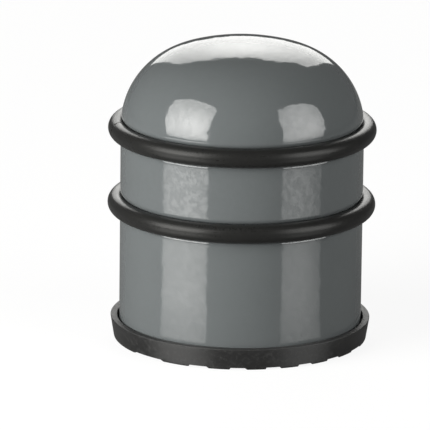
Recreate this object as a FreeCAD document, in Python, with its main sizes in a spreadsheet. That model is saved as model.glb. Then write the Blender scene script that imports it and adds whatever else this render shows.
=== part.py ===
import FreeCAD, Part
import Sketcher
import math
import os

# Round door stop, in millimetres. A drawn steel shell with a domed top is filled with mortar and stands
# in a moulded rubber foot. Two rubber rings sit in grooves rolled into the shell, so that a door meets
# rubber first. The origin is the centre of the underside, +Z is up, and the bars of the foot's tread
# run along Y.

V = FreeCAD.Vector

# Each driving size: its name, its value, and what it measures.
DRIVING_SIZES = [
    ("total_height", 85.0, "underside of the foot to the top of the dome"),
    ("shell_diameter", 67.6, "outside of the shell's straight wall"),
    ("sheet", 0.8, "thickness of the shell's steel"),
    ("bend_radius", 1.2, "inside radius of the bend on each side of a rolled groove"),
    ("crown_radius", 58.5, "outside radius of the low crown on top"),
    ("knuckle_radius", 22.9, "outside radius between the crown and the wall"),
    ("ring_cord", 5.3, "thickness of a ring's round cord"),
    ("ring_sink", 1.8, "how far a seated ring's inside lies below the shell's straight wall"),
    ("ring_seat_gap", 0.1, "clearance between a ring and its groove"),
    ("ring_drop", 0.6, "upper ring's centre below the start of the dome"),
    ("ring_pitch", 21.3, "from one ring's centre to the other's"),
    ("fill_gap", 0.1, "shrinkage of the set mortar from the shell"),
    ("sole_thickness", 2.6, "underside of the foot to the floor that the shell stands on"),
    ("rim_depth", 3.5, "floor that the shell stands on to the top of the foot's rim"),
    ("rim_gap", 0.55, "clearance between the rim and the shell"),
    ("rim_wall", 1.95, "thickness of the foot's wall at its rim"),
    ("rim_flare", 1.0, "how far the rim stands out past the sole"),
    ("rim_round", 0.25, "rounding of the rim's two edges"),
    ("sole_round", 0.45, "rounding of the edge under the foot"),
    ("tread_pitch", 9.5, "from one tread bar to the next"),
    ("tread_groove", 4.65, "width of a groove between two bars, at the underside"),
    ("tread_draft", 0.2, "how far each side of a groove leans in by its root"),
    ("tread_depth", 0.6, "depth of the grooves"),
    ("tread_shift", 1.2, "middle bar's offset from the foot's centre, along X"),
]

# Each size that follows from them: its name and its formula.
WORKED_OUT_SIZES = [
    ("wall_radius", "shell_diameter / 2"),
    ("knuckle_centre", "wall_radius - knuckle_radius"),
    ("crown_centre", "total_height - crown_radius"),
    ("dome_start", "crown_centre + sqrt((crown_radius - knuckle_radius)^2 - knuckle_centre^2)"),
    ("shoulder_radius", "bend_radius + sheet"),
    ("ring_radius", "wall_radius - ring_sink + ring_cord / 2"),
    ("seat_radius", "ring_cord / 2 + ring_seat_gap"),
    ("upper_ring_level", "dome_start - ring_drop"),
    ("lower_ring_level", "upper_ring_level - ring_pitch"),
    ("cup_radius", "wall_radius + rim_gap"),
    ("rim_radius", "cup_radius + rim_wall"),
    ("sole_radius", "rim_radius - rim_flare"),
    ("rim_height", "sole_thickness + rim_depth"),
    ("first_groove_step", "ceil(-(sole_radius + tread_shift) / tread_pitch - 0.5)"),
    ("last_groove_step", "floor((sole_radius - tread_shift) / tread_pitch - 0.5)"),
    ("groove_count", "last_groove_step - first_groove_step + 1"),
    ("first_groove", "tread_shift + (first_groove_step + 0.5) * tread_pitch"),
]


def make_sheet(doc):
    """The spreadsheet that every sketch and feature reads its sizes from."""
    sheet = doc.addObject("Spreadsheet::Sheet", "Sizes")
    rows = [(name, str(value), meaning) for name, value, meaning in DRIVING_SIZES]
    rows += [(name, "=" + formula, "worked out") for name, formula in WORKED_OUT_SIZES]
    for number, (name, content, meaning) in enumerate(rows, start=1):
        sheet.set("A" + str(number), name)
        sheet.set("B" + str(number), content)
        sheet.setAlias("B" + str(number), name)
        sheet.set("C" + str(number), meaning)
    doc.recompute()
    return sheet


def make_body(doc, name):
    """An empty body for one piece of the door stop."""
    body = doc.addObject("PartDesign::Body", name)
    body.Label = name
    return body


def make_section_sketch(body, name):
    """A sketch on the body's own XZ plane, where X is the radius and Y is the height."""
    sketch = body.newObject("Sketcher::SketchObject", name)
    plane = next(item for item in body.Origin.OriginFeatures if item.Role == "XZ_Plane")
    sketch.AttachmentSupport = [(plane, "")]
    sketch.MapMode = "FlatFace"
    return sketch


# How a sketch numbers the points of a curve, and its own origin.
START, END, CENTRE = range(1, 4)
ORIGIN_POINT = (-1, START)


class Outline:
    """A chain of lines and arcs in a sketch, drawn in its true place and then bound to the sheet."""

    def __init__(self, sketch, first_point):
        self.sketch = sketch
        self.first_point = first_point
        self.point = first_point
        self.first_link = None
        self.last_link = None

    def bind(self, kind, *where_and_formula):
        """A dimension whose value comes from the sheet."""
        *where, formula = where_and_formula
        value = float(self.sketch.evalExpression(formula))
        index = self.sketch.addConstraint(Sketcher.Constraint(kind, *where, value))
        self.sketch.setExpression("Constraints[" + str(index) + "]", formula)

    def fix(self, kind, *where):
        """A geometric constraint, such as a vertical line."""
        self.sketch.addConstraint(Sketcher.Constraint(kind, *where))

    def hold_on_axis(self, item, spot):
        """A point of a curve stays on the sketch's upright axis."""
        self.fix("PointOnObject", item, spot, -2)

    def join(self, item, entry, way_out, point, smooth):
        if self.last_link is None:
            self.first_link = (item, entry)
        else:
            self.fix("Tangent" if smooth else "Coincident", *self.last_link, item, entry)
        self.last_link = (item, way_out)
        self.point = point
        return item

    def line(self, point, direction=None, smooth=False):
        """A straight run to a point, held horizontal or vertical where a direction is given."""
        item = self.sketch.addGeometry(Part.LineSegment(self.point, point))
        if direction:
            self.fix(direction, item)
        return self.join(item, START, END, point, smooth)

    def arc(self, centre, point, radius_formula, clockwise=False):
        """An arc about a centre to a point, tangent to what comes before it."""
        angles = [math.atan2(spot.y - centre.y, spot.x - centre.x) for spot in (self.point, point)]
        if clockwise:
            angles.reverse()
        circle = Part.Circle(centre, V(0, 0, 1), (point - centre).Length)
        item = self.sketch.addGeometry(Part.ArcOfCircle(circle, *angles))
        self.bind("Radius", item, radius_formula)
        entry, way_out = (END, START) if clockwise else (START, END)
        return self.join(item, entry, way_out, point, smooth=True)

    def close(self):
        """A last straight run back to the first point."""
        item = self.line(self.first_point)
        self.fix("Coincident", item, END, *self.first_link)


def along(start, end, distance):
    """The point at a distance from start on the line through start and end."""
    return start + (end - start).normalize() * distance


def shoulder_beside_wall(sheet, seat, side):
    """Centre of the bend between a groove and the straight wall, above (1) or below (-1) the ring."""
    across = sheet.wall_radius - sheet.shoulder_radius - seat.x
    reach = sheet.seat_radius + sheet.shoulder_radius
    return seat + V(across, side * math.sqrt(reach ** 2 - across ** 2), 0)


def shoulder_under_knuckle(sheet, seat, knuckle):
    """Centre of the bend between the upper groove and the knuckle, which it touches from inside."""
    seat_reach = sheet.seat_radius + sheet.shoulder_radius
    knuckle_reach = sheet.knuckle_radius - sheet.shoulder_radius
    apart = (seat - knuckle).Length
    along_line = (knuckle_reach ** 2 - seat_reach ** 2 + apart ** 2) / (2 * apart)
    off_line = math.sqrt(knuckle_reach ** 2 - along_line ** 2)
    direction = (seat - knuckle).normalize()
    return knuckle + direction * along_line + V(-direction.y, direction.x, 0) * off_line


def draw_drawn_form(sketch, sheet, inset):
    """Half section of the form that the shell is drawn to, at an inset from its painted surface.

    The bends keep their centres at every inset, so that sheet and fill follow each other.
    """
    depth = float(sketch.evalExpression(inset))
    wall = sheet.wall_radius - depth
    floor = sheet.sole_thickness
    bend = sheet.shoulder_radius - depth
    groove = sheet.seat_radius + depth
    knuckle = V(sheet.knuckle_centre, sheet.dome_start, 0)
    crown = V(0, sheet.crown_centre, 0)
    wall_formula = "Sizes.wall_radius - " + inset
    bend_formula = "Sizes.shoulder_radius - " + inset

    def draw_groove(level, upper_shoulder, level_formula):
        seat = V(sheet.ring_radius, level, 0)
        lower_shoulder = shoulder_beside_wall(sheet, seat, -1)
        outline.arc(lower_shoulder, along(lower_shoulder, seat, bend), bend_formula)
        upper_end = along(seat, upper_shoulder, groove)
        item = outline.arc(seat, upper_end, "Sizes.seat_radius + " + inset, clockwise=True)
        outline.bind("DistanceX", *ORIGIN_POINT, item, CENTRE, "Sizes.ring_radius")
        outline.bind("DistanceY", *ORIGIN_POINT, item, CENTRE, level_formula)

    def draw_wall(top):
        item = outline.line(V(wall, top, 0), "Vertical", smooth=outline.last_link[0] > 0)
        outline.bind("DistanceX", *ORIGIN_POINT, item, END, wall_formula)

    outline = Outline(sketch, V(0, floor, 0))
    base = outline.line(V(wall, floor, 0), "Horizontal")
    outline.hold_on_axis(base, START)
    outline.bind("DistanceY", *ORIGIN_POINT, base, START, "Sizes.sole_thickness")

    lower_seat = V(sheet.ring_radius, sheet.lower_ring_level, 0)
    above_lower = shoulder_beside_wall(sheet, lower_seat, 1)
    draw_wall(shoulder_beside_wall(sheet, lower_seat, -1).y)
    draw_groove(sheet.lower_ring_level, above_lower, "Sizes.lower_ring_level")
    outline.arc(above_lower, V(wall, above_lower.y, 0), bend_formula)

    upper_seat = V(sheet.ring_radius, sheet.upper_ring_level, 0)
    above_upper = shoulder_under_knuckle(sheet, upper_seat, knuckle)
    draw_wall(shoulder_beside_wall(sheet, upper_seat, -1).y)
    draw_groove(sheet.upper_ring_level, above_upper, "Sizes.upper_ring_level")
    outline.arc(above_upper, along(knuckle, above_upper, sheet.knuckle_radius - depth), bend_formula)

    top_of_knuckle = along(crown, knuckle, sheet.crown_radius - depth)
    item = outline.arc(knuckle, top_of_knuckle, "Sizes.knuckle_radius - " + inset)
    outline.bind("DistanceX", *ORIGIN_POINT, item, CENTRE, "Sizes.knuckle_centre")
    item = outline.arc(crown, V(0, sheet.total_height - depth, 0), "Sizes.crown_radius - " + inset)
    outline.hold_on_axis(item, CENTRE)
    outline.hold_on_axis(item, END)
    outline.bind("DistanceY", *ORIGIN_POINT, item, END, "Sizes.total_height - " + inset)
    outline.close()


def revolve(body, kind, name, sketch):
    """A full turn of a section about the height axis, added (Revolution) or cut (Groove)."""
    feature = body.newObject("PartDesign::" + kind, name)
    feature.Profile = sketch
    feature.ReferenceAxis = (sketch, ["V_Axis"])
    feature.Angle = 360
    return feature


def make_shell(doc, sheet):
    """Drawn steel cup, mouth down, with both ring grooves rolled in."""
    body = make_body(doc, "shell")
    outside = make_section_sketch(body, "PaintedOutline")
    draw_drawn_form(outside, sheet, "0")
    revolve(body, "Revolution", "DrawnForm", outside)
    inside = make_section_sketch(body, "InnerOutline")
    draw_drawn_form(inside, sheet, "Sizes.sheet")
    revolve(body, "Groove", "Hollow", inside)
    return body


def make_ballast(doc, sheet):
    """Set mortar that fills the shell down to its mouth and bears on the foot's floor."""
    body = make_body(doc, "ballast")
    outline = make_section_sketch(body, "FillOutline")
    draw_drawn_form(outline, sheet, "(Sizes.sheet + Sizes.fill_gap)")
    revolve(body, "Revolution", "Fill", outline)
    return body


def make_ring(doc, name):
    """Rubber ring of round cord, stretched into its groove."""
    ring = doc.addObject("Part::Torus", name)
    ring.Label = name
    ring.setExpression("Radius1", "Sizes.ring_radius")
    ring.setExpression("Radius2", "Sizes.ring_cord / 2")
    ring.setExpression("Placement.Base.z", "Sizes." + name + "_level")
    return ring


def draw_foot_section(sketch, sheet):
    """Half section of the foot: a floor and a wall that leans out to the rim."""
    outline = Outline(sketch, V(0, 0, 0))
    sole = outline.line(V(sheet.sole_radius, 0, 0), "Horizontal")
    outer_wall = outline.line(V(sheet.rim_radius, sheet.rim_height, 0))
    rim = outline.line(V(sheet.cup_radius, sheet.rim_height, 0), "Horizontal")
    outline.line(V(sheet.cup_radius, sheet.sole_thickness, 0), "Vertical")
    floor = outline.line(V(0, sheet.sole_thickness, 0), "Horizontal")
    outline.close()
    outline.fix("Coincident", sole, START, *ORIGIN_POINT)
    outline.hold_on_axis(floor, END)
    outline.bind("DistanceX", sole, START, sole, END, "Sizes.sole_radius")
    outline.bind("DistanceX", *ORIGIN_POINT, outer_wall, END, "Sizes.rim_radius")
    outline.bind("DistanceY", *ORIGIN_POINT, outer_wall, END, "Sizes.rim_height")
    outline.bind("DistanceX", *ORIGIN_POINT, rim, END, "Sizes.cup_radius")
    outline.bind("DistanceY", *ORIGIN_POINT, floor, END, "Sizes.sole_thickness")


def round_edges(body, name, base, circles, radius_name):
    """Round the circular edges of a turned form, each given by its radius and its level."""
    edges = []
    for number, edge in enumerate(base.Shape.Edges, start=1):
        if isinstance(edge.Curve, Part.Circle):
            found = V(edge.Curve.Radius, edge.Curve.Center.z, 0)
            if any((found - V(*circle, 0)).Length < 1e-4 for circle in circles):
                edges.append("Edge" + str(number))
    if len(edges) != len(circles):
        raise RuntimeError("The foot's edges for " + name + " weren't found.")
    rounding = body.newObject("PartDesign::Fillet", name)
    rounding.Base = (base, edges)
    rounding.setExpression("Radius", "Sizes." + radius_name)
    return rounding


def draw_tread_groove(sketch, sheet):
    """Section of the first tread groove, a trapezium that narrows to its root."""
    left = sheet.first_groove - sheet.tread_groove / 2
    right = left + sheet.tread_groove
    outline = Outline(sketch, V(left, 0, 0))
    mouth = outline.line(V(right, 0, 0), "Horizontal")
    outline.line(V(right - sheet.tread_draft, sheet.tread_depth, 0))
    root = outline.line(V(left + sheet.tread_draft, sheet.tread_depth, 0), "Horizontal")
    outline.close()
    outline.fix("PointOnObject", mouth, START, ORIGIN_POINT[0])
    outline.bind("DistanceX", *ORIGIN_POINT, mouth, START, "Sizes.first_groove - Sizes.tread_groove / 2")
    outline.bind("DistanceX", mouth, START, mouth, END, "Sizes.tread_groove")
    outline.bind("DistanceX", root, START, mouth, END, "Sizes.tread_draft")
    outline.bind("DistanceX", mouth, START, root, END, "Sizes.tread_draft")
    outline.bind("DistanceY", mouth, END, root, START, "Sizes.tread_depth")


def make_foot(doc, sheet):
    """Moulded rubber cup with a tread of straight bars under its sole."""
    body = make_body(doc, "foot")
    section = make_section_sketch(body, "CupSection")
    draw_foot_section(section, sheet)
    cup = revolve(body, "Revolution", "Cup", section)
    doc.recompute()
    rim_edges = [(sheet.rim_radius, sheet.rim_height), (sheet.cup_radius, sheet.rim_height)]
    rim = round_edges(body, "RimRounding", cup, rim_edges, "rim_round")
    doc.recompute()
    round_edges(body, "SoleRounding", rim, [(sheet.sole_radius, 0)], "sole_round")
    doc.recompute()

    groove_section = make_section_sketch(body, "TreadGrooveSection")
    draw_tread_groove(groove_section, sheet)
    groove = body.newObject("PartDesign::Pocket", "TreadGroove")
    groove.Profile = groove_section
    groove.SideType = "Symmetric"
    groove.Type = "Length"
    groove.setExpression("Length", "2 * Sizes.rim_radius")
    doc.recompute()

    tread = body.newObject("PartDesign::LinearPattern", "Tread")
    tread.Originals = [groove]
    tread.Direction = (groove_section, ["H_Axis"])
    tread.Mode = "Spacing"
    tread.setExpression("Offset", "Sizes.tread_pitch")
    tread.setExpression("Occurrences", "Sizes.groove_count")
    body.Tip = tread
    return body


def check(doc, parts):
    """Stop before anything is written if a feature failed or a piece isn't one sound solid."""
    for item in doc.Objects:
        if "Invalid" in item.State or "Error" in item.State:
            raise RuntimeError(item.Label + " failed to compute: " + str(item.State))
    for part in parts:
        if part.Shape.isNull() or not part.Shape.isValid() or len(part.Shape.Solids) != 1:
            raise RuntimeError(part.Label + " isn't one valid solid.")


def main():
    doc = FreeCAD.newDocument("RoundDoorStop")
    sheet = make_sheet(doc)
    parts = [
        make_shell(doc, sheet),
        make_ballast(doc, sheet),
        make_ring(doc, "upper_ring"),
        make_ring(doc, "lower_ring"),
        make_foot(doc, sheet),
    ]
    doc.recompute()
    check(doc, parts)
    os.makedirs("parts", exist_ok=True)
    for part in parts:
        part.Shape.exportStep("parts/" + part.Label + ".step")


main()
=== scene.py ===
from math import atan2, ceil, cos, floor, hypot, pi, radians, sin, sqrt
from typing import NamedTuple

import bmesh
import bpy
from mathutils import Matrix, Vector


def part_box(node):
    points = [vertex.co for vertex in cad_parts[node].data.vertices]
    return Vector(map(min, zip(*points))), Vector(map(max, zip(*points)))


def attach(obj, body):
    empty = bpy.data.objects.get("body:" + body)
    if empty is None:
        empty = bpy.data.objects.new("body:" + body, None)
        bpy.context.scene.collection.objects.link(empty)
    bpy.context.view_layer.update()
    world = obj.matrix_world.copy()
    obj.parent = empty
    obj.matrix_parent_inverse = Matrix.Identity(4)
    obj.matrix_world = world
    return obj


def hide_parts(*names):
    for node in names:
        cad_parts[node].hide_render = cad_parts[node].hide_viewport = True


bl_info = {
    "name": "Round door stop",
    "version": (1, 0, 0),
    "blender": (4, 5, 0),
    "location": "3D View > Sidebar > Door Stop",
    "description": "Builds a weighted door stop with a painted shell, rubber rings and a treaded foot",
    "category": "Add Mesh",
}

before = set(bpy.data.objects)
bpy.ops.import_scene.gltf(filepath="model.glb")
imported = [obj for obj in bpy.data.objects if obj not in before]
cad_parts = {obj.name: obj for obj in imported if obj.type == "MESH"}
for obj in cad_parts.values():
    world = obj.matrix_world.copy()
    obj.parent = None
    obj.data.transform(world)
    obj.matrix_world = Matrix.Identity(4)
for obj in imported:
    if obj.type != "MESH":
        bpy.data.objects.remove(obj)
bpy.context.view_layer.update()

MM = 0.001
BODY = "root"

SHELL_LOW, SHELL_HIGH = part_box("shell")
UPPER_LOW, UPPER_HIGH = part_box("upper_ring")
LOWER_LOW, LOWER_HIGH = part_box("lower_ring")
_, FOOT_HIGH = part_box("foot")

# Points nearer to each other than this count as one.
MERGE = 1e-7
# Steps round the axis, and the turn of each step along the curves of a section.
SHELL_STEPS = 192
RING_STEPS = 240
FOOT_STEPS = 192
DOME_TURN = radians(2.25)
BEND_TURN = radians(8)
CORD_TURN = radians(10)
# Equal parts of each straight run of the wall, and of each rounded edge of the foot.
WALL_RUNS = 8
ROUND_SEGMENTS = 5
# Where faces meet at more than this, the edge between them stays sharp.
SHELL_CREASE = radians(40)
FOOT_CREASE = radians(35)
# Turn from the upper ring's splice to the lower ring's.
BETWEEN_SPLICES = radians(-100)
# How far from a splice its cuts reach, in thicknesses of the cord, and where they fall across its width.
SPLICE_REACH = 1.6
SPLICE_CUTS = (-0.5, -0.25, 0, 0.25, 0.5)


class ShellSizes(bpy.types.PropertyGroup):
    wall_radius: bpy.props.FloatProperty(
        name="Wall radius", description="Outside radius of the straight wall",
        default=SHELL_HIGH.x, min=0.01, unit="LENGTH", precision=5)
    mouth_level: bpy.props.FloatProperty(
        name="Mouth level", description="Height of the shell's open end above the floor",
        default=SHELL_LOW.z, unit="LENGTH", precision=5)
    total_height: bpy.props.FloatProperty(
        name="Total height", description="Height of the dome's top above the floor",
        default=SHELL_HIGH.z, min=0.01, unit="LENGTH", precision=5)
    crown_radius: bpy.props.FloatProperty(
        name="Crown radius", description="Radius of the low curve on top of the dome",
        default=58.5 * MM, min=0.001, unit="LENGTH", precision=5)
    knuckle_radius: bpy.props.FloatProperty(
        name="Knuckle radius", description="Radius between the crown and the wall",
        default=22.9 * MM, min=0.001, unit="LENGTH", precision=5)
    bend_radius: bpy.props.FloatProperty(
        name="Bend radius", description="Outside radius of the bend on each side of a ring groove",
        default=2.0 * MM, min=0.0001, unit="LENGTH", precision=5)
    seat_gap: bpy.props.FloatProperty(
        name="Seat gap", description="Clearance between a ring and its groove",
        default=0.1 * MM, min=0.0, unit="LENGTH", precision=5)
    sheet: bpy.props.FloatProperty(
        name="Sheet", description="Thickness of the drawn steel",
        default=0.8 * MM, min=0.0001, unit="LENGTH", precision=5)
    paint: bpy.props.FloatVectorProperty(
        name="Paint", description="Colour of the gloss paint",
        default=(0.1, 0.1088, 0.1104), min=0.0, max=1.0, subtype="COLOR")


class RingSizes(bpy.types.PropertyGroup):
    middle_radius: bpy.props.FloatProperty(
        name="Middle radius", description="From the axis to the middle of the rubber cord",
        default=UPPER_HIGH.x - (UPPER_HIGH.z - UPPER_LOW.z) / 2, min=0.01, unit="LENGTH", precision=5)
    cord: bpy.props.FloatProperty(
        name="Cord", description="Thickness of the round rubber cord",
        default=UPPER_HIGH.z - UPPER_LOW.z, min=0.001, unit="LENGTH", precision=5)
    upper_level: bpy.props.FloatProperty(
        name="Upper level", description="Height of the upper ring's middle",
        default=(UPPER_LOW.z + UPPER_HIGH.z) / 2, unit="LENGTH", precision=5)
    lower_level: bpy.props.FloatProperty(
        name="Lower level", description="Height of the lower ring's middle",
        default=(LOWER_LOW.z + LOWER_HIGH.z) / 2, unit="LENGTH", precision=5)
    rubber: bpy.props.FloatVectorProperty(
        name="Rubber", description="Colour of the rings",
        default=(0.012, 0.012, 0.0115), min=0.0, max=1.0, subtype="COLOR")
    splice_turn: bpy.props.FloatProperty(
        name="Splice turn", description="Turn of the upper ring's splice about the axis, from the front",
        default=radians(-101), subtype="ANGLE", unit="ROTATION")
    splice_depth: bpy.props.FloatProperty(
        name="Splice depth", description="How far the cord is pinched at its splice",
        default=0.3 * MM, min=0.0, unit="LENGTH", precision=5)
    splice_width: bpy.props.FloatProperty(
        name="Splice width", description="Width of the pinch at the splice",
        default=1.6 * MM, min=0.0001, unit="LENGTH", precision=5)
    splice_slant: bpy.props.FloatProperty(
        name="Splice slant", description="Turn of the cut ends away from square to the cord",
        default=radians(35), subtype="ANGLE", unit="ROTATION")


class FootSizes(bpy.types.PropertyGroup):
    rim_radius: bpy.props.FloatProperty(
        name="Rim radius", description="Outside radius at the rim",
        default=FOOT_HIGH.x, min=0.01, unit="LENGTH", precision=5)
    rim_height: bpy.props.FloatProperty(
        name="Rim height", description="Height of the rim above the floor",
        default=FOOT_HIGH.z, min=0.001, unit="LENGTH", precision=5)
    rim_flare: bpy.props.FloatProperty(
        name="Rim flare", description="How far the rim stands out past the sole",
        default=1.0 * MM, min=0.0, unit="LENGTH", precision=5)
    rim_wall: bpy.props.FloatProperty(
        name="Rim wall", description="Thickness of the wall at the rim",
        default=1.95 * MM, min=0.0002, unit="LENGTH", precision=5)
    rim_round: bpy.props.FloatProperty(
        name="Rim round", description="Rounding of the rim's two edges",
        default=0.25 * MM, min=0.0, unit="LENGTH", precision=5)
    sole_round: bpy.props.FloatProperty(
        name="Sole round", description="Rounding of the edge under the foot",
        default=0.45 * MM, min=0.0, unit="LENGTH", precision=5)
    tread_pitch: bpy.props.FloatProperty(
        name="Tread pitch", description="From one tread bar to the next",
        default=9.5 * MM, min=0.001, unit="LENGTH", precision=5)
    tread_groove: bpy.props.FloatProperty(
        name="Tread groove", description="Width of a groove between two bars",
        default=4.65 * MM, min=0.0002, unit="LENGTH", precision=5)
    tread_draft: bpy.props.FloatProperty(
        name="Tread draft", description="How far each side of a groove leans in by its root",
        default=0.2 * MM, min=0.0, unit="LENGTH", precision=5)
    tread_depth: bpy.props.FloatProperty(
        name="Tread depth", description="Depth of the grooves",
        default=0.6 * MM, min=0.0001, unit="LENGTH", precision=5)
    tread_shift: bpy.props.FloatProperty(
        name="Tread shift", description="Offset of the middle bar from the foot's centre",
        default=1.2 * MM, unit="LENGTH", precision=5)
    rubber: bpy.props.FloatVectorProperty(
        name="Rubber", description="Colour of the foot",
        default=(0.0135, 0.0135, 0.0133), min=0.0, max=1.0, subtype="COLOR")


class FillSizes(bpy.types.PropertyGroup):
    mortar: bpy.props.FloatVectorProperty(
        name="Mortar", description="Colour of the set mortar fill",
        default=(0.36, 0.34, 0.31), min=0.0, max=1.0, subtype="COLOR")


class StudioSizes(bpy.types.PropertyGroup):
    camera_turn: bpy.props.FloatProperty(
        name="Camera turn", description="Turn of the camera about the stop, from straight in front",
        default=radians(21.5), subtype="ANGLE", unit="ROTATION")
    camera_rise: bpy.props.FloatProperty(
        name="Camera rise", description="Height angle of the camera above the floor",
        default=radians(14.72), subtype="ANGLE", unit="ROTATION")
    camera_lean: bpy.props.FloatProperty(
        name="Camera lean", description="Lean of the camera about its line of sight",
        default=radians(0.746), subtype="ANGLE", unit="ROTATION")
    camera_distance: bpy.props.FloatProperty(
        name="Camera distance", description="From the camera to the middle of the stop",
        default=1.708, min=0.1, unit="LENGTH", precision=4)
    lens: bpy.props.FloatProperty(
        name="Lens", description="Focal length in millimetres",
        default=513.6, min=1.0, unit="CAMERA")
    floor_reach: bpy.props.FloatProperty(
        name="Floor reach", description="Half width of the floor",
        default=4.0, min=0.5, unit="LENGTH")


def mark_faces(piece, test):
    """Select, in edit mode, the faces whose middle and normal pass a test."""
    mesh = bmesh.from_edit_mesh(piece.data)
    for face in mesh.faces:
        face.select_set(test(face.calc_center_median(), face.normal))
    mesh.select_flush_mode()
    bmesh.update_edit_mesh(piece.data)


def mark_edges(piece, test):
    """Select, in edit mode, the edges whose two ends pass a test."""
    bpy.ops.mesh.select_mode(type="EDGE")
    bpy.ops.mesh.select_all(action="DESELECT")
    mesh = bmesh.from_edit_mesh(piece.data)
    for edge in mesh.edges:
        edge.select_set(all(test(vertex.co) for vertex in edge.verts))
    mesh.select_flush_mode()
    bmesh.update_edit_mesh(piece.data)


def polar(centre, radius, angle):
    """The point at a radius and an angle about a centre, in the plane of a section."""
    return (centre[0] + radius * cos(angle), centre[1] + radius * sin(angle))


class Section:
    """Half a cross-section, drawn from one vertex by extruding and spinning its open end.

    Points are pairs: distance from the axis, then height.
    """

    def __init__(self, name, start):
        bpy.ops.object.select_all(action="DESELECT")
        bpy.ops.mesh.primitive_plane_add(size=MM, location=(start[0], 0, start[1]))
        bpy.ops.object.transform_apply(location=True, rotation=False, scale=False)
        self.piece = bpy.context.object
        self.piece.name = self.piece.data.name = name
        bpy.ops.object.mode_set(mode="EDIT")
        bpy.ops.mesh.select_mode(type="VERT")
        bpy.ops.mesh.select_all(action="SELECT")
        bpy.ops.mesh.merge(type="CENTER")
        self.end = start

    def line(self, point, runs=1):
        """A straight run to a point, in equal parts."""
        step = ((point[0] - self.end[0]) / runs, 0, (point[1] - self.end[1]) / runs)
        for _ in range(runs):
            bpy.ops.mesh.extrude_vertices_move(TRANSFORM_OT_translate={"value": step})
        self.end = point

    def held_line(self, point, runs, hold=0.06 * MM):
        """A straight run with a short part at each end, so that the bends beside it shade alone."""
        way = Vector(point) - Vector(self.end)
        short = way.normalized() * hold
        self.line(tuple(Vector(self.end) + short))
        self.line(tuple(Vector(point) - short), runs)
        self.line(point)

    def arc(self, centre, turn, step):
        """An arc about a centre, anticlockwise where the turn is positive."""
        steps = ceil(abs(turn) / step)
        bpy.ops.mesh.spin(steps=steps, angle=turn, center=(centre[0], 0, centre[1]), axis=(0, 1, 0))
        start = atan2(self.end[1] - centre[1], self.end[0] - centre[0])
        radius = hypot(self.end[0] - centre[0], self.end[1] - centre[1])
        self.end = polar(centre, radius, start + turn)

    def turn(self, steps):
        """Turn the whole section about the upright axis and close the seam and the poles."""
        bpy.ops.mesh.select_all(action="SELECT")
        bpy.ops.mesh.spin(steps=steps, angle=2 * pi, center=(0, 0, 0), axis=(0, 0, 1), use_auto_merge=True)
        bpy.ops.mesh.select_all(action="SELECT")
        bpy.ops.mesh.remove_doubles(threshold=MERGE)
        bpy.ops.mesh.normals_make_consistent(inside=False)
        return self.piece


def dress(piece, finish, slot, *nodes):
    """Give a finished piece its material and its place in the model, and hide the nodes that it stands for.
    """
    bpy.ops.object.mode_set(mode="OBJECT")
    piece.data.materials.clear()
    piece.data.materials.append(finish)
    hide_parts(*nodes)
    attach(piece, BODY)


def apply_modifier(piece, kind, **settings):
    """Add a modifier with its settings and apply it at once."""
    modifier = piece.modifiers.new(kind.title(), kind)
    for name, value in settings.items():
        setattr(modifier, name, value)
    bpy.context.view_layer.objects.active = piece
    bpy.ops.object.modifier_apply(modifier=modifier.name)


class Wire:
    """A shader value. Python's arithmetic on it adds Math nodes to its material."""

    def __init__(self, finish, socket):
        self.finish = finish
        self.socket = socket

    def maths(self, operation, *values):
        node = self.finish.node("ShaderNodeMath", {"operation": operation}, dict(enumerate(values)))
        return Wire(self.finish, node.outputs[0])

    def __add__(self, other):
        return self.maths("ADD", self, other)

    def __sub__(self, other):
        return self.maths("SUBTRACT", self, other)

    def __rsub__(self, other):
        return self.maths("SUBTRACT", other, self)

    def __mul__(self, other):
        return self.maths("MULTIPLY", self, other)

    def __truediv__(self, other):
        return self.maths("DIVIDE", self, other)

    __radd__ = __add__
    __rmul__ = __mul__

    def sine(self):
        return self.maths("SINE", self)

    def absolute(self):
        return self.maths("ABSOLUTE", self)

    def least(self, other):
        return self.maths("MINIMUM", self, other)

    def root(self):
        return self.maths("SQRT", self)

    def fade(self, start, end):
        """0 before start and 1 past end, with a soft step between them."""
        node = self.finish.node(
            "ShaderNodeMapRange", {"interpolation_type": "SMOOTHSTEP"},
            {"Value": self, "From Min": start, "From Max": end})
        return Wire(self.finish, node.outputs["Result"])


class Nodes:
    """A node tree, emptied and then filled through one method."""

    def __init__(self, tree):
        self.tree = tree
        tree.nodes.clear()

    def node(self, kind, settings=None, sockets=None):
        """A node with its settings made first, then the values or links of its sockets."""
        node = self.tree.nodes.new(kind)
        for name, value in (settings or {}).items():
            setattr(node, name, value)
        for name, value in (sockets or {}).items():
            if isinstance(value, Wire):
                value = value.socket
            if isinstance(value, bpy.types.NodeSocket):
                self.tree.links.new(value, node.inputs[name])
            else:
                node.inputs[name].default_value = value
        return node

    def along(self, place, way):
        """How far a place lies along a direction."""
        node = self.node("ShaderNodeVectorMath", {"operation": "DOT_PRODUCT"}, {0: place, 1: way})
        return Wire(self, node.outputs["Value"])

    def rays(self, *kinds):
        """1 for rays of the given kinds, and 0 for others."""
        node = self.node("ShaderNodeLightPath")
        return [Wire(self, node.outputs[kind]) for kind in kinds]


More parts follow.
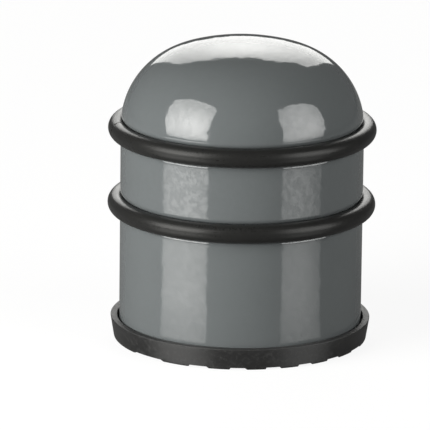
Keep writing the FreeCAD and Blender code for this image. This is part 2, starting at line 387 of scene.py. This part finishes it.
class Finish(Nodes):
    """A material made of nodes on the piece's own coordinates."""

    def __init__(self, name):
        self.material = bpy.data.materials.new(name)
        self.material.use_nodes = True
        super().__init__(self.material.node_tree)

    def place(self):
        """Object coordinates."""
        return self.node("ShaderNodeTexCoord").outputs["Object"]

    def axes(self):
        """The three object coordinates as values."""
        split = self.node("ShaderNodeSeparateXYZ", None, {"Vector": self.place()})
        return [Wire(self, socket) for socket in split.outputs]

    def noise(self, feature, detail=2.0, roughness=0.5, where=None, fourth=None):
        """Noise from 0 to 1 with features of a size in metres, and with a fourth coordinate if given."""
        settings = {"noise_dimensions": "4D"} if fourth else None
        sockets = {
            "Vector": where or self.place(), "Scale": 1 / feature, "Detail": detail, "Roughness": roughness}
        if fourth:
            sockets["W"] = fourth
        return Wire(self, self.node("ShaderNodeTexNoise", settings, sockets).outputs["Fac"])

    def blend(self, share, first, second):
        """A colour between two colours."""
        settings = {"data_type": "RGBA"}
        node = self.node("ShaderNodeMix", settings, {"Factor": share, "A": first, "B": second})
        return node.outputs["Result"]

    def bump(self, height, depth, normal=None):
        """A surface normal for relief of a depth, in metres."""
        sockets = {"Height": height, "Strength": 1.0, "Distance": depth}
        if normal:
            sockets["Normal"] = normal
        return self.node("ShaderNodeBump", None, sockets).outputs["Normal"]

    def surface(self, sockets):
        """The one shader of the material."""
        shader = self.node("ShaderNodeBsdfPrincipled", None, sockets)
        self.node("ShaderNodeOutputMaterial", None, {"Surface": shader.outputs["BSDF"]})
        return self.material


def colour(rgb, brightness=1.0):
    """A colour with full alpha, lighter or darker by a factor."""
    return (rgb[0] * brightness, rgb[1] * brightness, rgb[2] * brightness, 1.0)


# Reflection levels of the paint where it dried dull and bright, and the bright share where it dried evenly.
DULL_PAINT = 0.41
BRIGHT_PAINT = 0.635
EVEN_SHARE = 0.4
# Strength of the mottling outside the band between the rings, where it is 1, and the band's soft edge.
FAINT_MOTTLE = 0.45
BAND_EDGE = 3 * MM


def gloss_paint(rgb, mottled_band):
    """Stoved gloss enamel with a faint ripple, mottled by uneven drying, mostly between two levels."""
    finish = Finish("gloss_paint")
    level = finish.axes()[2]
    low, high = mottled_band
    band = level.fade(low, low + BAND_EDGE) - level.fade(high - BAND_EDGE, high)
    mottle = finish.noise(1.7 * MM, detail=2.0, roughness=0.6).fade(0.42, 0.61)
    tone = finish.noise(9 * MM, detail=3.0)
    swell = finish.noise(12 * MM, detail=1.0)
    waves = finish.noise(2.8 * MM, detail=1.0)
    peel = finish.noise(0.8 * MM, detail=1.0)
    normal = finish.bump(swell, 0.08 * MM)
    normal = finish.bump(waves, 0.04 * MM, normal)
    normal = finish.bump(peel, 0.0012 * MM, normal)
    look = {
        "Base Color": finish.blend(tone, colour(rgb, 0.97), colour(rgb, 1.03)),
        "Roughness": 0.05 + 0.03 * tone,
        "IOR": 1.6,
        "Normal": normal,
    }
    dull = finish.node("ShaderNodeBsdfPrincipled", None, {**look, "Specular IOR Level": DULL_PAINT})
    bright = finish.node("ShaderNodeBsdfPrincipled", None, {**look, "Specular IOR Level": BRIGHT_PAINT})
    strength = FAINT_MOTTLE + (1 - FAINT_MOTTLE) * band
    mix = finish.node("ShaderNodeMixShader", None, {
        0: EVEN_SHARE + strength * (mottle - EVEN_SHARE), 1: dull.outputs[0], 2: bright.outputs[0]})
    finish.node("ShaderNodeOutputMaterial", None, {"Surface": mix.outputs[0]})
    return finish.material


# The marks on a ring are drawn out along its cord by one over this.
ALONG_CORD = 0.02
# The wrinkles beside a splice: from one to the next, and where they fade in and out past it.
WRINKLE_PITCH = 1.1 * MM
WRINKLES_START = (-1 * MM, 0.5 * MM)
WRINKLES_END = (9 * MM, 13 * MM)


def ring_rubber(rgb, splice):
    """Extruded rubber cord: satin black, with marks drawn out along it and wrinkles past its splice."""
    finish = Finish("ring_rubber")
    x, y, z = finish.axes()
    radius = (x * x + y * y).root()
    lengthwise = finish.node("ShaderNodeCombineXYZ", None, {
        "X": x * ALONG_CORD, "Y": y * ALONG_CORD, "Z": z}).outputs[0]
    streaks = finish.noise(0.45 * MM, where=lengthwise, fourth=radius)
    grain = finish.noise(0.6 * MM, detail=3.0, roughness=0.6)
    cloud = finish.noise(6 * MM, detail=3.0)
    past_splice = finish.along(finish.place(), splice.cross(Vector((0, 0, 1))))
    beside_splice = finish.along(finish.place(), splice).fade(0, 5 * MM)
    wrinkles = (past_splice * (2 * pi / WRINKLE_PITCH)).sine().fade(0.6, 1.0) * beside_splice * (
        past_splice.fade(*WRINKLES_START) - past_splice.fade(*WRINKLES_END))
    normal = finish.bump(streaks, 0.02 * MM)
    normal = finish.bump(grain, 0.034 * MM, normal)
    normal = finish.bump(wrinkles, 0.03 * MM, normal)
    return finish.surface({
        "Base Color": finish.blend(grain, colour(rgb, 0.8), colour(rgb, 1.4)),
        "Roughness": 0.12 + 0.1 * cloud + 0.16 * streaks + 0.12 * grain,
        "IOR": 1.7,
        "Specular Tint": (0.24, 0.24, 0.235, 1.0),
        "Normal": normal,
    })


def foot_rubber(rgb, rim_height):
    """Moulded rubber: satin black with fine grain and faint scuffs, and dull where its rim was trimmed."""
    finish = Finish("foot_rubber")
    trimmed = finish.axes()[2].fade(rim_height - 0.4 * MM, rim_height - 0.1 * MM)
    grain = finish.noise(0.3 * MM, detail=3.0)
    cloud = finish.noise(4 * MM, detail=3.0)
    scuffs = finish.noise(1.0 * MM, detail=4.0, roughness=0.7).fade(0.48, 0.75)
    normal = finish.bump(grain, 0.008 * MM)
    normal = finish.bump(scuffs, 0.014 * MM, normal)
    tone = finish.blend(cloud, colour(rgb, 0.85), colour(rgb, 1.2))
    return finish.surface({
        "Base Color": finish.blend(scuffs, tone, colour(rgb, 2.6)),
        "Roughness": (0.27 + 0.12 * cloud + 0.15 * scuffs + 0.22 * trimmed).least(1.0),
        "IOR": 1.56,
        "Normal": normal,
    })


def set_mortar(rgb):
    """Sand and cement mortar, as cast against the shell."""
    finish = Finish("set_mortar")
    sand = finish.noise(0.6 * MM, detail=4.0, roughness=0.7)
    patch = finish.noise(7 * MM, detail=2.0)
    return finish.surface({
        "Base Color": finish.blend(sand, colour(rgb, 0.7), colour(rgb, 1.25)),
        "Roughness": 0.85 + 0.1 * patch,
        "Normal": finish.bump(sand, 0.12 * MM),
    })


def wall_bend(sizes, seat, reach, side):
    """Centre of the bend between a ring groove and the straight wall, above (1) or below (-1) the ring."""
    across = sizes.wall_radius - sizes.bend_radius - seat[0]
    return (seat[0] + across, seat[1] + side * sqrt(reach ** 2 - across ** 2))


def knuckle_bend(sizes, seat, reach, knuckle):
    """Centre of the bend between the upper groove and the knuckle, which it touches from inside."""
    inside = sizes.knuckle_radius - sizes.bend_radius
    way = Vector(seat) - Vector(knuckle)
    along = (inside ** 2 - reach ** 2 + way.length ** 2) / (2 * way.length)
    aside = sqrt(inside ** 2 - along ** 2)
    way.normalize()
    return (knuckle[0] + way.x * along - way.y * aside, knuckle[1] + way.y * along + way.x * aside)


def heading(start, end):
    """Angle of the direction from one point of a section to another."""
    return atan2(end[1] - start[1], end[0] - start[0])


class DOORSTOP_OT_shell(bpy.types.Operator):
    """Build the painted shell: a domed cup, mouth down, with two rolled ring grooves"""
    bl_idname = "doorstop.shell"
    bl_label = "Painted shell"

    def execute(self, context):
        sizes = context.scene.doorstop_shell
        rings = context.scene.doorstop_rings
        seat_radius = rings.cord / 2 + sizes.seat_gap
        reach = seat_radius + sizes.bend_radius
        crown = (0.0, sizes.total_height - sizes.crown_radius)
        knuckle_middle = sizes.wall_radius - sizes.knuckle_radius
        fall = sqrt((sizes.crown_radius - sizes.knuckle_radius) ** 2 - knuckle_middle ** 2)
        knuckle = (knuckle_middle, crown[1] + fall)

        section = Section("painted_shell", (sizes.wall_radius, sizes.mouth_level))
        for level in (rings.lower_level, rings.upper_level):
            seat = (rings.middle_radius, level)
            below = wall_bend(sizes, seat, reach, -1)
            section.held_line((sizes.wall_radius, below[1]), WALL_RUNS)
            lean = heading(below, seat)
            section.arc(below, lean, BEND_TURN)
            if level == rings.lower_level:
                above = wall_bend(sizes, seat, reach, 1)
                leave = 0.0
            else:
                above = knuckle_bend(sizes, seat, reach, knuckle)
                leave = heading(knuckle, above)
            section.arc(seat, heading(seat, above) - lean - pi, BEND_TURN)
            section.arc(above, leave - heading(above, seat), BEND_TURN)
        section.arc(knuckle, heading(crown, knuckle) - leave, DOME_TURN)
        section.arc(crown, pi / 2 - heading(crown, knuckle), DOME_TURN)
        piece = section.turn(SHELL_STEPS)

        bpy.ops.object.mode_set(mode="OBJECT")
        apply_modifier(piece, "SOLIDIFY", thickness=sizes.sheet, offset=-1.0, use_even_offset=True)
        bpy.ops.object.shade_smooth_by_angle(angle=SHELL_CREASE)
        between_rings = (rings.lower_level + rings.cord / 2, rings.upper_level - rings.cord / 2)
        dress(piece, gloss_paint(sizes.paint, between_rings), "grey_paint", "shell")
        return {"FINISHED"}


class DOORSTOP_OT_rings(bpy.types.Operator):
    """Build the two rubber rings that sit in the shell's grooves"""
    bl_idname = "doorstop.rings"
    bl_label = "Rubber rings"

    def execute(self, context):
        sizes = context.scene.doorstop_rings
        for name, node, level, turn in (
            ("upper_bumper_ring", "upper_ring", sizes.upper_level, sizes.splice_turn),
            ("lower_bumper_ring", "lower_ring", sizes.lower_level, sizes.splice_turn + BETWEEN_SPLICES),
        ):
            splice = Vector((sin(turn), -cos(turn), 0))
            section = Section(name, (sizes.middle_radius + sizes.cord / 2, level))
            section.arc((sizes.middle_radius, level), 2 * pi, CORD_TURN)
            piece = section.turn(RING_STEPS)
            self.pinch_splice(piece, sizes, splice, level)
            bpy.ops.object.mode_set(mode="OBJECT")
            bpy.ops.object.shade_smooth()
            dress(piece, ring_rubber(sizes.rubber, splice), "ring_rubber", node)
        return {"FINISHED"}

    def pinch_splice(self, piece, sizes, splice, level):
        """Cut loops round the cord where its slanting ends are joined, and draw the middle one in."""
        middle = splice * sizes.middle_radius + Vector((0, 0, level))
        across = Vector((0, 0, 1)).cross(splice)
        across.rotate(Matrix.Rotation(sizes.splice_slant, 3, "Z"))
        near = SPLICE_REACH * sizes.cord
        for cut in SPLICE_CUTS:
            bpy.ops.mesh.select_mode(type="FACE")
            mark_faces(piece, lambda centre, normal: (centre - middle).length < near)
            bpy.ops.mesh.bisect(plane_co=middle + across * cut * sizes.splice_width, plane_no=across)
        bpy.ops.mesh.select_mode(type="VERT")
        mesh = bmesh.from_edit_mesh(piece.data)
        for vertex in mesh.verts:
            away = vertex.co - middle
            vertex.select_set(away.length < near and abs(away.dot(across)) < MERGE)
        mesh.select_flush_mode()
        bmesh.update_edit_mesh(piece.data)
        share = 1 - 2 * sizes.splice_depth / sizes.cord
        bpy.ops.transform.resize(value=(share, share, share), center_override=middle)


class DOORSTOP_OT_foot(bpy.types.Operator):
    """Build the rubber foot: a shallow cup with a raised rim and straight tread bars under it"""
    bl_idname = "doorstop.foot"
    bl_label = "Rubber foot"

    def execute(self, context):
        sizes = context.scene.doorstop_foot
        cup_floor = context.scene.doorstop_shell.mouth_level
        sole_radius = sizes.rim_radius - sizes.rim_flare
        cup_radius = sizes.rim_radius - sizes.rim_wall

        section = Section("treaded_foot", (0.0, 0.0))
        section.line((sole_radius, 0.0), runs=4)
        section.line((sizes.rim_radius, sizes.rim_height), runs=4)
        section.line((cup_radius, sizes.rim_height))
        section.line((cup_radius, cup_floor))
        section.line((0.0, cup_floor), runs=2)
        piece = section.turn(FOOT_STEPS)
        self.round_edges(piece, sizes.rim_round, sizes.rim_height, cup_radius)
        self.round_edges(piece, sizes.sole_round, 0.0, sole_radius)
        bpy.ops.object.mode_set(mode="OBJECT")

        cutter = self.make_grooves(sizes, sole_radius)
        apply_modifier(piece, "BOOLEAN", operation="DIFFERENCE", object=cutter, solver="EXACT")
        bpy.data.objects.remove(cutter)
        bpy.ops.object.select_all(action="DESELECT")
        piece.select_set(True)
        bpy.ops.object.shade_smooth_by_angle(angle=FOOT_CREASE)
        dress(piece, foot_rubber(sizes.rubber, sizes.rim_height), "foot_rubber", "foot")
        return {"FINISHED"}

    def round_edges(self, piece, radius, level, least_radius):
        """Bevel the circular edges at a level, from a least radius outwards."""
        def on_edge(point):
            return abs(point.z - level) < MERGE and hypot(point.x, point.y) > least_radius - MERGE

        mark_edges(piece, on_edge)
        mesh = bmesh.from_edit_mesh(piece.data)
        for edge in mesh.edges:
            ends = [hypot(vertex.co.x, vertex.co.y) for vertex in edge.verts]
            if abs(ends[0] - ends[1]) > MERGE:
                edge.select_set(False)
        bmesh.update_edit_mesh(piece.data)
        bpy.ops.mesh.bevel(offset=radius, segments=ROUND_SEGMENTS, affect="EDGES")

    def make_grooves(self, sizes, sole_radius):
        """One bar for each groove, wider below the sole, to be cut from the foot."""
        lowest = ceil(-(sole_radius + sizes.tread_shift) / sizes.tread_pitch - 0.5)
        highest = floor((sole_radius - sizes.tread_shift) / sizes.tread_pitch - 0.5)
        wide = sizes.tread_groove + 2 * sizes.tread_draft
        narrow = sizes.tread_groove - 2 * sizes.tread_draft
        bars = []
        for step in range(lowest, highest + 1):
            middle = sizes.tread_shift + (step + 0.5) * sizes.tread_pitch
            bpy.ops.object.select_all(action="DESELECT")
            bpy.ops.mesh.primitive_cube_add(
                size=1, location=(middle, 0, 0), scale=(wide, 4 * sole_radius, 2 * sizes.tread_depth))
            bar = bpy.context.object
            bpy.ops.object.transform_apply(location=True, rotation=False, scale=True)
            bpy.ops.object.mode_set(mode="EDIT")
            bpy.ops.mesh.select_mode(type="FACE")
            mark_faces(bar, lambda centre, normal: normal.z > 0.5)
            bpy.ops.transform.resize(value=(narrow / wide, 1, 1), center_override=(middle, 0, 0))
            bpy.ops.object.mode_set(mode="OBJECT")
            bars.append(bar)
        bpy.ops.object.select_all(action="DESELECT")
        for bar in bars:
            bar.select_set(True)
        bpy.context.view_layer.objects.active = bars[0]
        bpy.ops.object.join()
        return bars[0]


class DOORSTOP_OT_fill(bpy.types.Operator):
    """Finish the mortar fill inside the shell"""
    bl_idname = "doorstop.fill"
    bl_label = "Mortar fill"

    def execute(self, context):
        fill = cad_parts["ballast"]
        fill.data.materials.clear()
        fill.data.materials.append(set_mortar(context.scene.doorstop_fill.mortar))
        return {"FINISHED"}


class Softbox(NamedTuple):
    """A lamp that faces the stop.

    Places on it are pairs: metres to the right, seen from behind it, then metres above the floor.
    """
    name: str
    facing: float                       # degrees from the camera's direction, with 90 to the camera's right
    corners: tuple
    brightness: float                   # at the hot spot
    tint: tuple = (1.0, 1.0, 1.0)
    hot_spot: tuple = (0.0, 0.4)
    hot_reach: tuple = (0.7, 0.7)       # how far aside and up from the hot spot the light falls off
    rest_share: float = 1.0             # share of the brightness left from there on
    foot_share: float = 1.0             # share of the brightness left at the lower edge
    sag: float = 0.0                    # how far it bends up towards its sides, for each square metre aside
    shows: bool = True                  # whether gloss reflects it
    distance: float = 1.0               # from the axis of the stop


SOFTBOXES = (
    Softbox(
        "left_softbox", facing=-55, brightness=8.65, tint=(1.005, 0.998, 0.975),
        hot_spot=(0.03, 0.4), hot_reach=(0.8, 0.7), rest_share=0.5, foot_share=0.6,
        corners=(
            (-0.32, 0.05), (0.43, 0.06), (0.445, 0.45), (0.48, 1.04), (0.465, 1.2), (0.36, 1.31),
            (0.16, 1.31), (-0.43, 1.18), (-0.65, 0.97), (-0.61, 0.8), (-0.54, 0.55), (-0.48, 0.35),
            (-0.41, 0.19))),
    Softbox(
        "right_softbox", facing=60, brightness=4.75, tint=(1.0, 1.002, 0.99),
        hot_spot=(0.03, 0.35), hot_reach=(0.75, 1.1), rest_share=0.5, foot_share=0.55,
        corners=(
            (-0.38, 0.055), (0.05, 0.02), (0.39, 0.04), (0.475, 0.15), (0.505, 0.31), (0.525, 0.77),
            (0.345, 0.945), (0.18, 1.03), (-0.1, 1.06), (-0.29, 1.06), (-0.385, 0.75), (-0.4, 0.48))),
    Softbox(
        "back_softbox", facing=180, brightness=4.6, tint=(1.0, 0.998, 0.975),
        hot_spot=(0.0, 0.72), hot_reach=(0.34, 0.5), rest_share=0.54, foot_share=0.9, sag=0.28,
        corners=(
            (-0.36, 0.15), (0.35, 0.15), (0.47, 0.5), (0.54, 0.87), (0.1, 0.985), (-0.1, 0.985),
            (-0.61, 0.87), (-0.5, 0.6))),
    Softbox(
        "left_fill", facing=-52, brightness=12.3, shows=False, distance=0.24,
        corners=((-0.07, 0.005), (0.07, 0.005), (0.07, 0.085), (-0.07, 0.085))),
)
# Width of a lamp's soft edge, and how far above its lower edge it is as bright as elsewhere.
SOFTBOX_EDGE = 0.008
FOOT_REACH = 0.15
WHITE = (1, 1, 1, 1)
ROOM_GREY = (0.035, 0.035, 0.035, 1)
# The gloss shows only this share of the white surroundings, because the real one was lit in a dark room.
ROOM_SHARE = 0.06
# The table's own colour, and its glow where it shows as white.
TABLE_GREY = (0.12, 0.12, 0.12, 1)
TABLE_GLOW = 0.88
# The share of polish in front of the stop, and its roughness.
POLISH = 0.5
POLISH_ROUGHNESS = 0.16
# How far in front of the axis the polish begins, and how much further for each metre aside.
POLISH_EDGE = (0.018, 0.0215)
POLISH_SPREAD = 0.18
# How far from the axis the polish reaches its full gloss, and what share of it is lost close to the stop.
POLISH_START = (0.055, 0.105)
DULL_NEAR = 0.4
# What share of the polish is lost towards the right, and how far right for each metre in front that happens.
DULL_RIGHT = 0.58
RIGHTWARD = (0.3, 3.2)
# The middle of the stop, which the camera is set about, and where it falls in the picture.
MIDDLE = Vector((0, 0, 42 * MM))
PICTURE_SIZE = 430
MIDDLE_IN_PICTURE = (241.58, 189.67)


class DOORSTOP_OT_studio(bpy.types.Operator):
    """Set up the floor, the softboxes, the surroundings and the camera"""
    bl_idname = "doorstop.studio"
    bl_label = "Studio"

    def execute(self, context):
        sizes = context.scene.doorstop_studio
        self.make_floor(sizes)
        for box in SOFTBOXES:
            self.make_softbox(sizes, box)
        self.light_surroundings(context.scene)
        self.aim_camera(context.scene, sizes)
        context.scene.view_settings.view_transform = "Standard"
        return {"FINISHED"}

    def outward(self, sizes, way):
        """Level direction from the stop, at an angle from the camera's to its right."""
        angle = radians(way) - sizes.camera_turn
        return Vector((sin(angle), -cos(angle), 0))

    def shown_white(self, nodes):
        """Where the surroundings show as white: to the camera and through glass, and faintly in gloss."""
        camera, through, gloss = nodes.rays("Is Camera Ray", "Is Transmission Ray", "Is Glossy Ray")
        return (camera + through + ROOM_SHARE * gloss).least(1.0)

    def make_floor(self, sizes):
        """A pale table top that shows as white, polished in front of the stop and matt behind it."""
        bpy.ops.object.select_all(action="DESELECT")
        bpy.ops.mesh.primitive_plane_add(size=2 * sizes.floor_reach)
        table = bpy.context.object
        table.name = "table_top"
        finish = Finish("table_top")
        forward = finish.along(finish.place(), self.outward(sizes, 0))
        sideways = finish.along(finish.place(), self.outward(sizes, 90))
        distance = (forward * forward + sideways * sideways).root()
        gloss = POLISH * (1 - DULL_RIGHT * (sideways / forward).fade(*RIGHTWARD)) * (
            1 - DULL_NEAR + DULL_NEAR * distance.fade(*POLISH_START))
        matt = finish.node("ShaderNodeBsdfDiffuse", None, {"Color": TABLE_GREY})
        polish = finish.node("ShaderNodeBsdfAnisotropic", None, {"Roughness": POLISH_ROUGHNESS})
        white = finish.node("ShaderNodeBsdfPrincipled", None, {
            "Base Color": TABLE_GREY, "Roughness": 1.0, "Specular IOR Level": 0.0,
            "Emission Color": WHITE, "Emission Strength": TABLE_GLOW})
        sheet = finish.node("ShaderNodeMixShader", None, {
            0: gloss * (forward - POLISH_SPREAD * sideways.absolute()).fade(*POLISH_EDGE),
            1: matt.outputs[0], 2: polish.outputs[0]})
        mix = finish.node("ShaderNodeMixShader", None, {
            0: self.shown_white(finish), 1: sheet.outputs[0], 2: white.outputs[0]})
        finish.node("ShaderNodeOutputMaterial", None, {"Surface": mix.outputs[0]})
        table.data.materials.append(finish.material)

    def make_softbox(self, sizes, box):
        """An upright area lamp that glows inside its corners."""
        away = self.outward(sizes, box.facing)
        aside = self.outward(sizes, box.facing + 90)
        up = Vector((0, 0, 1))
        low = [min(corner[axis] for corner in box.corners) for axis in (0, 1)]
        high = [max(corner[axis] for corner in box.corners) for axis in (0, 1)]
        high[1] += box.sag * max(abs(corner[0]) for corner in box.corners) ** 2
        lamp = bpy.data.lights.new(box.name, "AREA")
        lamp.shape = "RECTANGLE"
        lamp.size = high[0] - low[0]
        lamp.size_y = high[1] - low[1]
        # An area lamp's brightness is its power over pi and its area.
        lamp.energy = box.brightness * lamp.size * lamp.size_y * pi
        lamp.color = box.tint
        self.shape_glow(lamp, box, aside, up)
        lantern = bpy.data.objects.new(box.name, lamp)
        bpy.context.scene.collection.objects.link(lantern)
        place = away * box.distance + aside * (low[0] + high[0]) / 2 + up * (low[1] + high[1]) / 2
        turned = Matrix((up.cross(away), up, away)).transposed()
        lantern.matrix_world = Matrix.Translation(place) @ turned.to_4x4()
        lantern.visible_camera = False
        lantern.visible_glossy = box.shows

    def shape_glow(self, lamp, box, aside, up):
        """Make a lamp brightest at its hot spot, dimmer at its foot and dark outside its corners."""
        lamp.use_nodes = True
        nodes = Nodes(lamp.node_tree)
        place = nodes.node("ShaderNodeNewGeometry").outputs["Position"]
        side = nodes.along(place, aside)
        level = nodes.along(place, up) - box.sag * side * side
        depth = None
        for start, end in zip(box.corners, box.corners[1:] + box.corners[:1]):
            inward = Vector((start[1] - end[1], end[0] - start[0])).normalized()
            inside = side * inward.x + level * inward.y - inward.dot(Vector(start))
            depth = depth.least(inside) if depth else inside
        across = (side - box.hot_spot[0]) / box.hot_reach[0]
        rise = (level - box.hot_spot[1]) / box.hot_reach[1]
        cool = (across * across + rise * rise).root().fade(0, 1)
        foot = min(corner[1] for corner in box.corners)
        shade = 1 - (1 - box.rest_share) * cool
        glow = depth.fade(0, SOFTBOX_EDGE) * shade * (
            box.foot_share + (1 - box.foot_share) * level.fade(foot, foot + FOOT_REACH))
        emission = nodes.node("ShaderNodeEmission", None, {"Strength": glow})
        nodes.node("ShaderNodeOutputLight", None, {"Surface": emission.outputs[0]})

    def light_surroundings(self, scene):
        """A dim grey room, which shows as white where the floor does."""
        scene.world = bpy.data.worlds.new("studio_room")
        scene.world.use_nodes = True
        nodes = Nodes(scene.world.node_tree)
        room = nodes.node("ShaderNodeBackground", None, {"Color": ROOM_GREY})
        white = nodes.node("ShaderNodeBackground", None, {"Color": WHITE})
        mix = nodes.node("ShaderNodeMixShader", None, {
            0: self.shown_white(nodes), 1: room.outputs[0], 2: white.outputs[0]})
        nodes.node("ShaderNodeOutputWorld", None, {"Surface": mix.outputs[0]})

    def aim_camera(self, scene, sizes):
        """The photograph's view: from the front, a little above, with the stop right of centre."""
        camera = bpy.data.cameras.new("camera")
        camera.lens = sizes.lens
        camera.clip_end = 20
        view = bpy.data.objects.new("camera", camera)
        scene.collection.objects.link(view)
        back = self.outward(sizes, 0) * cos(sizes.camera_rise) + Vector((0, 0, sin(sizes.camera_rise)))
        right = Vector((0, 0, 1)).cross(back).normalized()
        level = Matrix((right, back.cross(right), back)).transposed()
        focal = sizes.lens / camera.sensor_width * PICTURE_SIZE
        across, down = MIDDLE_IN_PICTURE
        offset = Vector((across - PICTURE_SIZE / 2, PICTURE_SIZE / 2 - down, -focal))
        swing = offset.rotation_difference(Vector((0, 0, -1))).to_matrix()
        turned = level @ Matrix.Rotation(sizes.camera_lean, 3, "Z") @ swing
        view.matrix_world = Matrix.Translation(MIDDLE + back * sizes.camera_distance) @ turned.to_4x4()
        scene.camera = view


class DOORSTOP_PT_sidebar(bpy.types.Panel):
    """Buttons and sizes for each piece of the door stop"""
    bl_label = "Round Door Stop"
    bl_space_type = "VIEW_3D"
    bl_region_type = "UI"
    bl_category = "Door Stop"

    def draw(self, context):
        for operator, group in STEPS:
            box = self.layout.box()
            box.operator(operator.bl_idname)
            settings = getattr(context.scene, group)
            for name in settings.__annotations__:
                box.prop(settings, name)


GROUPS = {
    "doorstop_shell": ShellSizes,
    "doorstop_rings": RingSizes,
    "doorstop_foot": FootSizes,
    "doorstop_fill": FillSizes,
    "doorstop_studio": StudioSizes,
}
STEPS = (
    (DOORSTOP_OT_shell, "doorstop_shell"),
    (DOORSTOP_OT_rings, "doorstop_rings"),
    (DOORSTOP_OT_foot, "doorstop_foot"),
    (DOORSTOP_OT_fill, "doorstop_fill"),
    (DOORSTOP_OT_studio, "doorstop_studio"),
)


def register():
    for name, group in GROUPS.items():
        bpy.utils.register_class(group)
        setattr(bpy.types.Scene, name, bpy.props.PointerProperty(type=group))
    for operator, _ in STEPS:
        bpy.utils.register_class(operator)
    bpy.utils.register_class(DOORSTOP_PT_sidebar)


def unregister():
    bpy.utils.unregister_class(DOORSTOP_PT_sidebar)
    for operator, _ in reversed(STEPS):
        bpy.utils.unregister_class(operator)
    for name, group in reversed(GROUPS.items()):
        delattr(bpy.types.Scene, name)
        bpy.utils.unregister_class(group)


def main():
    register()
    bpy.ops.doorstop.shell()
    bpy.ops.doorstop.rings()
    bpy.ops.doorstop.foot()
    bpy.ops.doorstop.fill()
    bpy.ops.doorstop.studio()


if __name__ == "__main__":
    main()
